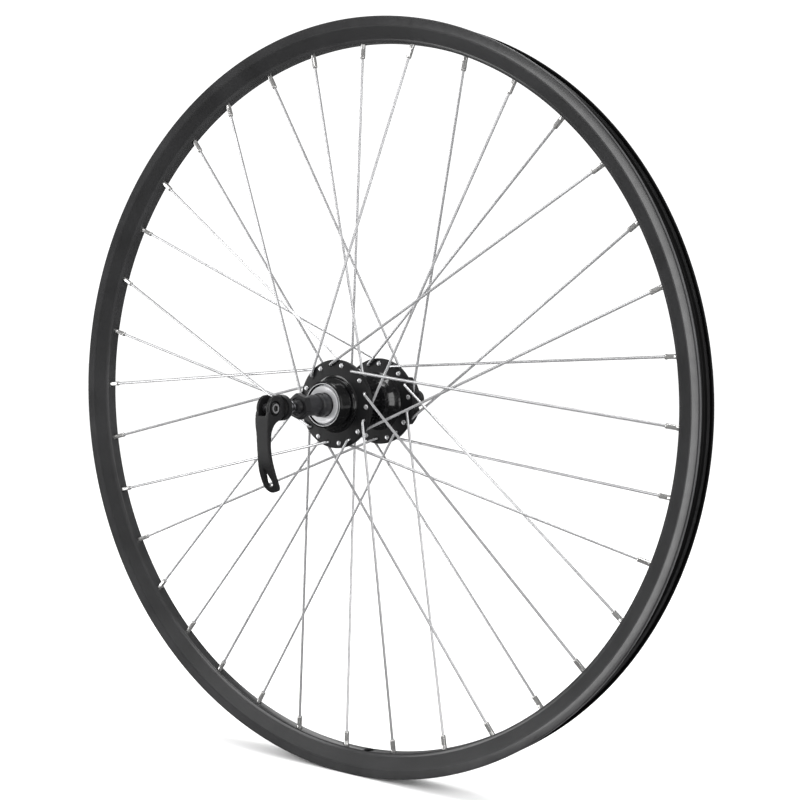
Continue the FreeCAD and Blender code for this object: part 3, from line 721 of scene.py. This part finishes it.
def nut_r(y_face, s, turn=0.0):
    def f(y, th, r):
        th = th - radians(turn)
        if r < 7.9:
            return r
        w = (th + radians(30)) % radians(60) - radians(30)
        h = 8.5 / cos(w)
        a = (y - y_face) * s
        b = 5.5 - a
        c1 = RC - 1.45 + 1.45 * min(1.0, max(0.0, a) / 1.15) ** 0.8
        c2 = RC - 0.5 + 0.5 * min(1.0, max(0.0, b) / 0.5)
        rr_ = min(h, c1, c2, RC - 0.12)
        e = max(0.0, 0.18 - min(a, b)) if min(a, b) < 0.18 else 0.0
        return rr_ - e * 0.8
    return f


def nut_prof(y_face, s):
    ys = [0.0, 0.05, 0.12, 0.2, 0.35, 0.5, 0.65, 0.8, 0.95, 1.1, 1.3, 2.5, 4.0, 4.8, 5.0, 5.2, 5.32, 5.42, 5.47, 5.5]
    return ([(y_face + s * 5.5, 5.02), (y_face + s * 1.0, 5.02), (y_face + s * 0.8, 5.2), (y_face + s * 0.8, 6.2),
             (y_face + s * 0.7, 6.3), (y_face + s * 0.15, 6.3), (y_face + s * 0.0, 6.5)] +
            [(y_face + s * a, 9.0) for a in ys])


piece(lathe("locknut_drive_hex", nut_prof(-67.5, 1), 180, nut_r(-67.5, 1, 8.6), smooth=25, phase=radians(8.6)), "locknut_drive",
      "axle_set", M_NUT)
piece(lathe("locknut_disc_hex", nut_prof(67.5, -1), 180, nut_r(67.5, -1), smooth=25, phase=0), "locknut_disc",
      "axle_set", M_NUT)


def axle_r(y, th, r):
    if r > 4.99 and 61.0 < abs(y) < 70.6:
        ph = (y / 1.0 + th / (2 * pi)) % 1.0
        tri = abs(2 * ph - 1)
        env = min(1.0, (70.6 - abs(y)) / 0.6)
        return r - 0.5 * max(0.0, min(1.0, (tri - 0.12) / 0.76)) * max(0.0, env)
    return r


thr_a = [-70.6 + 0.1 * i for i in range(96)]
ap = ([(-70.7, 2.75), (-71.0, 3.05), (-71.0, 4.4), (-70.9, 4.55)] + [(y, 5.0) for y in thr_a] + [(-61.0, 5.0), (61.0, 5.0)] +
      [(-y, 5.0) for y in reversed(thr_a)] + [(70.9, 4.55), (71.0, 4.4), (71.0, 3.05), (70.7, 2.75)])
ax_o = lathe("axle_threaded", ap, 72, axle_r)
v8 = [(x * MM, y * MM, z * MM) for x in (-0.8, 0.8) for y in (-71.5, -49.5) for z in (4.3, 6.0)]
v9 = [(x * MM, y * MM, z * MM) for x in (-0.8, 0.8) for y in (49.5, 71.5) for z in (4.3, 6.0)]
fb = [(0, 1, 3, 2), (4, 6, 7, 5), (0, 4, 5, 1), (2, 3, 7, 6), (0, 2, 6, 4), (1, 5, 7, 3)]
cut(ax_o, [(v8, fb), (v9, fb)])
piece(ax_o, "axle", "axle_set", M_AXLE)

# ---------------------------------------------------------------- quick release
cap_pts = rounded([(-87.9, 7.75, 0.1), (-87.9, 8.95, 0.35), (-87.5, 9.3, 0.35), (-83.3, 9.3, 0.6), (-82.8, 8.8, 0.4),
                   (-82.8, 6.2, 0.3), (-84.2, 6.2, 0), (-84.2, 2.8, 0.1),
                   (-85.6, 2.8, 0), (-85.6, 7.75, 0)], seg=4)
cap = lathe("quick_release_cap_turned", cap_pts, 144)
sad = axis_data([(-20, 0), (-20, 24.0), (20, 24.0), (20, 0)], (0, -86.74 - 24.0, 0), (1, 0, 0), 360)
cut(cap, [sad])
piece(cap, "quick_release_cap", "release_cap", M_QR)

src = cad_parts["quick_release_lever"]
lev = bpy.data.objects.new("quick_release_lever_forged", src.data.copy())
link(lev)
rm = lev.modifiers.new("remesh", "REMESH")
rm.mode = "VOXEL"
rm.voxel_size = 0.00024
rm.adaptivity = 0.0
sm = lev.modifiers.new("smooth", "SMOOTH")
sm.factor = 0.5
sm.iterations = 7
apply_mods(lev, 0)
lev.data.shade_smooth()
piece(lev, "quick_release_lever", "lever", M_QR)

bolt = mesh_obj("lever_pivot_bolt_turned", *axis_data(
    rounded([(-7.0, 0, 0), (-7.0, 2.6, 0.3), (-6.6, 3.0, 0.3), (-6.05, 3.0, 0.1), (-6.05, 2.0, 0.05), (4.45, 2.0, 0.05),
             (4.45, 4.4, 0.15), (5.9, 4.4, 0.45), (6.5, 3.8, 0.3), (6.5, 3.4, 0), (6.5, 0, 0)], seg=3, closed=False),
    (0, -98.2, 0), (1, 0, 0), 64))
hexv = []
for x in (4.85, 8.0):
    for i in range(6):
        a = radians(30 + 60 * i)
        hexv.append((x * MM, (-98.2 + 2.45 * cos(a)) * MM, 2.45 * sin(a) * MM))
hexf = [tuple(range(5, -1, -1)), tuple(range(6, 12))] + [(i, (i + 1) % 6, 6 + (i + 1) % 6, 6 + i) for i in range(6)]
cut(bolt, [(hexv, hexf)])
cut(bolt, [axis_data([(6.0, 0), (6.0, 1.85), (7.5, 3.35), (7.5, 0)], (0, -98.2, 0), (1, 0, 0), 48)])
piece(bolt, "lever_pivot_bolt", "lever", [M_QR, M_NYLON_AND_SOCKET_SHADE, M_BOLT])
for p_ in bolt.data.polygons:
    c_ = p_.center
    # the socket walls and floor get the dark nylon colour: painted shade in the socket
    if c_.x > 4.8 * MM and c_.x < 6.35 * MM and sqrt((c_.y + 98.2 * MM) ** 2 + c_.z ** 2) < 2.5 * MM:
        p_.material_index = 1
    elif c_.x > 6.3 * MM and sqrt((c_.y + 98.2 * MM) ** 2 + c_.z ** 2) < 3.5 * MM:
        p_.material_index = 2

nutp = rounded([(74.6, 6.3, 0.15), (74.6, 7.8, 0.4), (75.2, 8.5, 0.5), (79.0, 8.5, 1.0), (80.8, 7.6, 1.0),
                (84.4, 7.0, 0.8), (85.0, 6.4, 0.4), (85.0, 4.4, 0.15), (82.9, 4.4, 0), (82.9, 2.54, 0),
                (81.6, 2.54, 0.1), (81.6, 6.3, 0.3)], seg=4)
nut = lathe("adjusting_nut_turned", nutp, 144)
cut(nut, [axis_data([(79.6, 0), (79.6, 1.6), (80.6, 2.6), (86.0, 2.6), (86.0, 0)],
                    (pol(9.9, 60 * i).x, 0, pol(9.9, 60 * i).z), (0, 1, 0), 40) for i in range(6)])
piece(nut, "adjusting_nut", "nut", M_QR)


def rod_r(y, th, r):
    if r > 2.49 and y > 60.0:
        ph = (y / 0.8 + th / (2 * pi)) % 1.0
        tri = abs(2 * ph - 1)
        return r - 0.36 * max(0.0, min(1.0, (tri - 0.12) / 0.76)) * max(0.0, min(1.0, (85.6 - y) / 0.4, (y - 60) / 0.4))
    return r


rodp = ([(-95.3, 0), (-95.3, 2.4), (-95.2, 2.5), (59.9, 2.5)] + [(60.0 + 0.1 * i, 2.5) for i in range(257)] +
        [(85.9, 2.3), (86.2, 1.9), (86.2, 0)])
rod = lathe("skewer_rod_rolled", rodp, 48, rod_r, closed=False)
piece(rod, "skewer_rod", "skewer", M_ROD)


def spring(name, y_big, y_small, r_big, turns):
    s = 1 if y_small > y_big else -1
    h = abs(y_small - y_big) - 0.8
    pts = []
    N = int(turns * 36)
    for i in range(N + 1):
        u = i / N
        a = 2 * pi * turns * u
        r = r_big + (3.75 - r_big) * u
        pts.append((r * cos(a), y_big + s * (0.4 + h * u), -s * r * sin(a)))
    return mesh_obj(name, *tube_data(pts, [0.4] * len(pts), 12))


piece(spring("spring_drive_coil", -84.1, -72.7, 5.5, 3.5), "spring_drive", "release_cap", M_SPRING)
sp = spring("spring_disc_coil", -81.5, -72.7, 5.3, 3.0)
for v_ in sp.data.vertices:
    v_.co = (v_.co.x, -v_.co.y, -v_.co.z)
piece(sp, "spring_disc", "nut_insert", M_SPRING)

# ---------------------------------------------------------------- carried-over nodes
for node, m in (("rim_joint_sleeve", M_RACE), ("bearing_cup_drive", M_RACE), ("bearing_cup_disc", M_RACE),
                ("bearing_balls_drive", M_BALL), ("bearing_balls_disc", M_BALL),
                ("lock_washer_drive", M_NUT), ("lock_washer_disc", M_NUT),
                ("pivot_barrel", M_ROD), ("cam_seat", M_NYLON_AND_SOCKET_SHADE), ("nut_insert", M_NYLON_AND_SOCKET_SHADE)):
    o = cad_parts[node]
    for sl in o.material_slots:
        sl.link = "OBJECT"
        sl.material = m

# ---------------------------------------------------------------- floor, light, world
fl_m, nt, b = new_mat("floor_pale")
oc = coords(nt)
nt.links.new(ramp(nt, noise(nt, oc, 3.0, 2.0), [(0.3, (0.90, 0.90, 0.90)), (0.7, (0.915, 0.915, 0.915))]),
             b.inputs["Base Color"])
b.inputs["Roughness"].default_value = 0.9
b.inputs["Specular IOR Level"].default_value = 0.1
S = 12.0
fl = mesh_obj("floor", [(-S, -S, floor_z), (S, -S, floor_z), (S, S, floor_z), (-S, S, floor_z)], [(0, 1, 2, 3)], 0)
fl.data.materials.append(fl_m)
fl.visible_glossy = False


def area(name, pos, target, size, power, size_y=None, col=(1, 1, 1)):
    ld = bpy.data.lights.new(name, "AREA")
    ld.energy = power
    ld.size = size
    ld.color = col
    if size_y:
        ld.shape = "RECTANGLE"
        ld.size_y = size_y
    o = link(bpy.data.objects.new(name, ld))
    o.location = pos
    dv = Vector(target) - Vector(pos)
    o.rotation_euler = dv.to_track_quat("-Z", "Y").to_euler()
    return o


area("key", (-0.9, -1.9, 1.3), (0, 0, 0), 1.1, 14, 1.0)
area("left_strip", (-1.75, -1.3, -0.05), (0, 0, 0), 0.55, 13, 1.5)
area("right_window", (2.1, -0.35, 0.35), (0, 0, 0), 1.3, 26, 2.1)
area("top", (0.2, 0.1, 2.4), (0, 0, 0), 1.6, 34, 1.0)
area("rear", (-1.2, 1.9, 1.0), (0, 0, 0), 0.9, 4, 0.9)
area("front_low", (0.7, -2.2, -0.1), (0, 0, 0), 0.9, 3, 0.6)

w = bpy.data.worlds.new("studio")
scene.world = w
w.use_nodes = True
nt = w.node_tree
for n in list(nt.nodes):
    nt.nodes.remove(n)
out = nt.nodes.new("ShaderNodeOutputWorld")
lp = nt.nodes.new("ShaderNodeLightPath")
white = nt.nodes.new("ShaderNodeBackground")
white.inputs["Color"].default_value = (1, 1, 1, 1)
white.inputs["Strength"].default_value = 1.2
room = nt.nodes.new("ShaderNodeBackground")
tc = nt.nodes.new("ShaderNodeTexCoord")
sep = nt.nodes.new("ShaderNodeSeparateXYZ")
nt.links.new(tc.outputs["Generated"], sep.inputs[0])
rz = nt.nodes.new("ShaderNodeValToRGB")
els = rz.color_ramp.elements
els[0].position, els[0].color = 0.0, (0.07, 0.07, 0.07, 1)
els[1].position, els[1].color = 1.0, (0.30, 0.30, 0.30, 1)
for p_, c_ in ((0.40, 0.11), (0.50, 0.22), (0.62, 0.34), (0.8, 0.12)):
    e = els.new(p_)
    e.color = (c_, c_, c_, 1)
mr = nt.nodes.new("ShaderNodeMapRange")
mr.inputs["From Min"].default_value = -1.0
mr.inputs["From Max"].default_value = 1.0
nt.links.new(sep.outputs["Z"], mr.inputs["Value"])
nt.links.new(mr.outputs["Result"], rz.inputs["Fac"])
nt.links.new(rz.outputs["Color"], room.inputs["Color"])
room.inputs["Strength"].default_value = 1.0
mx = nt.nodes.new("ShaderNodeMixShader")
nt.links.new(lp.outputs["Is Glossy Ray"], mx.inputs[0])
nt.links.new(white.outputs[0], mx.inputs[1])
nt.links.new(room.outputs[0], mx.inputs[2])
nt.links.new(mx.outputs[0], out.inputs["Surface"])
scene.view_settings.view_transform = "Standard"
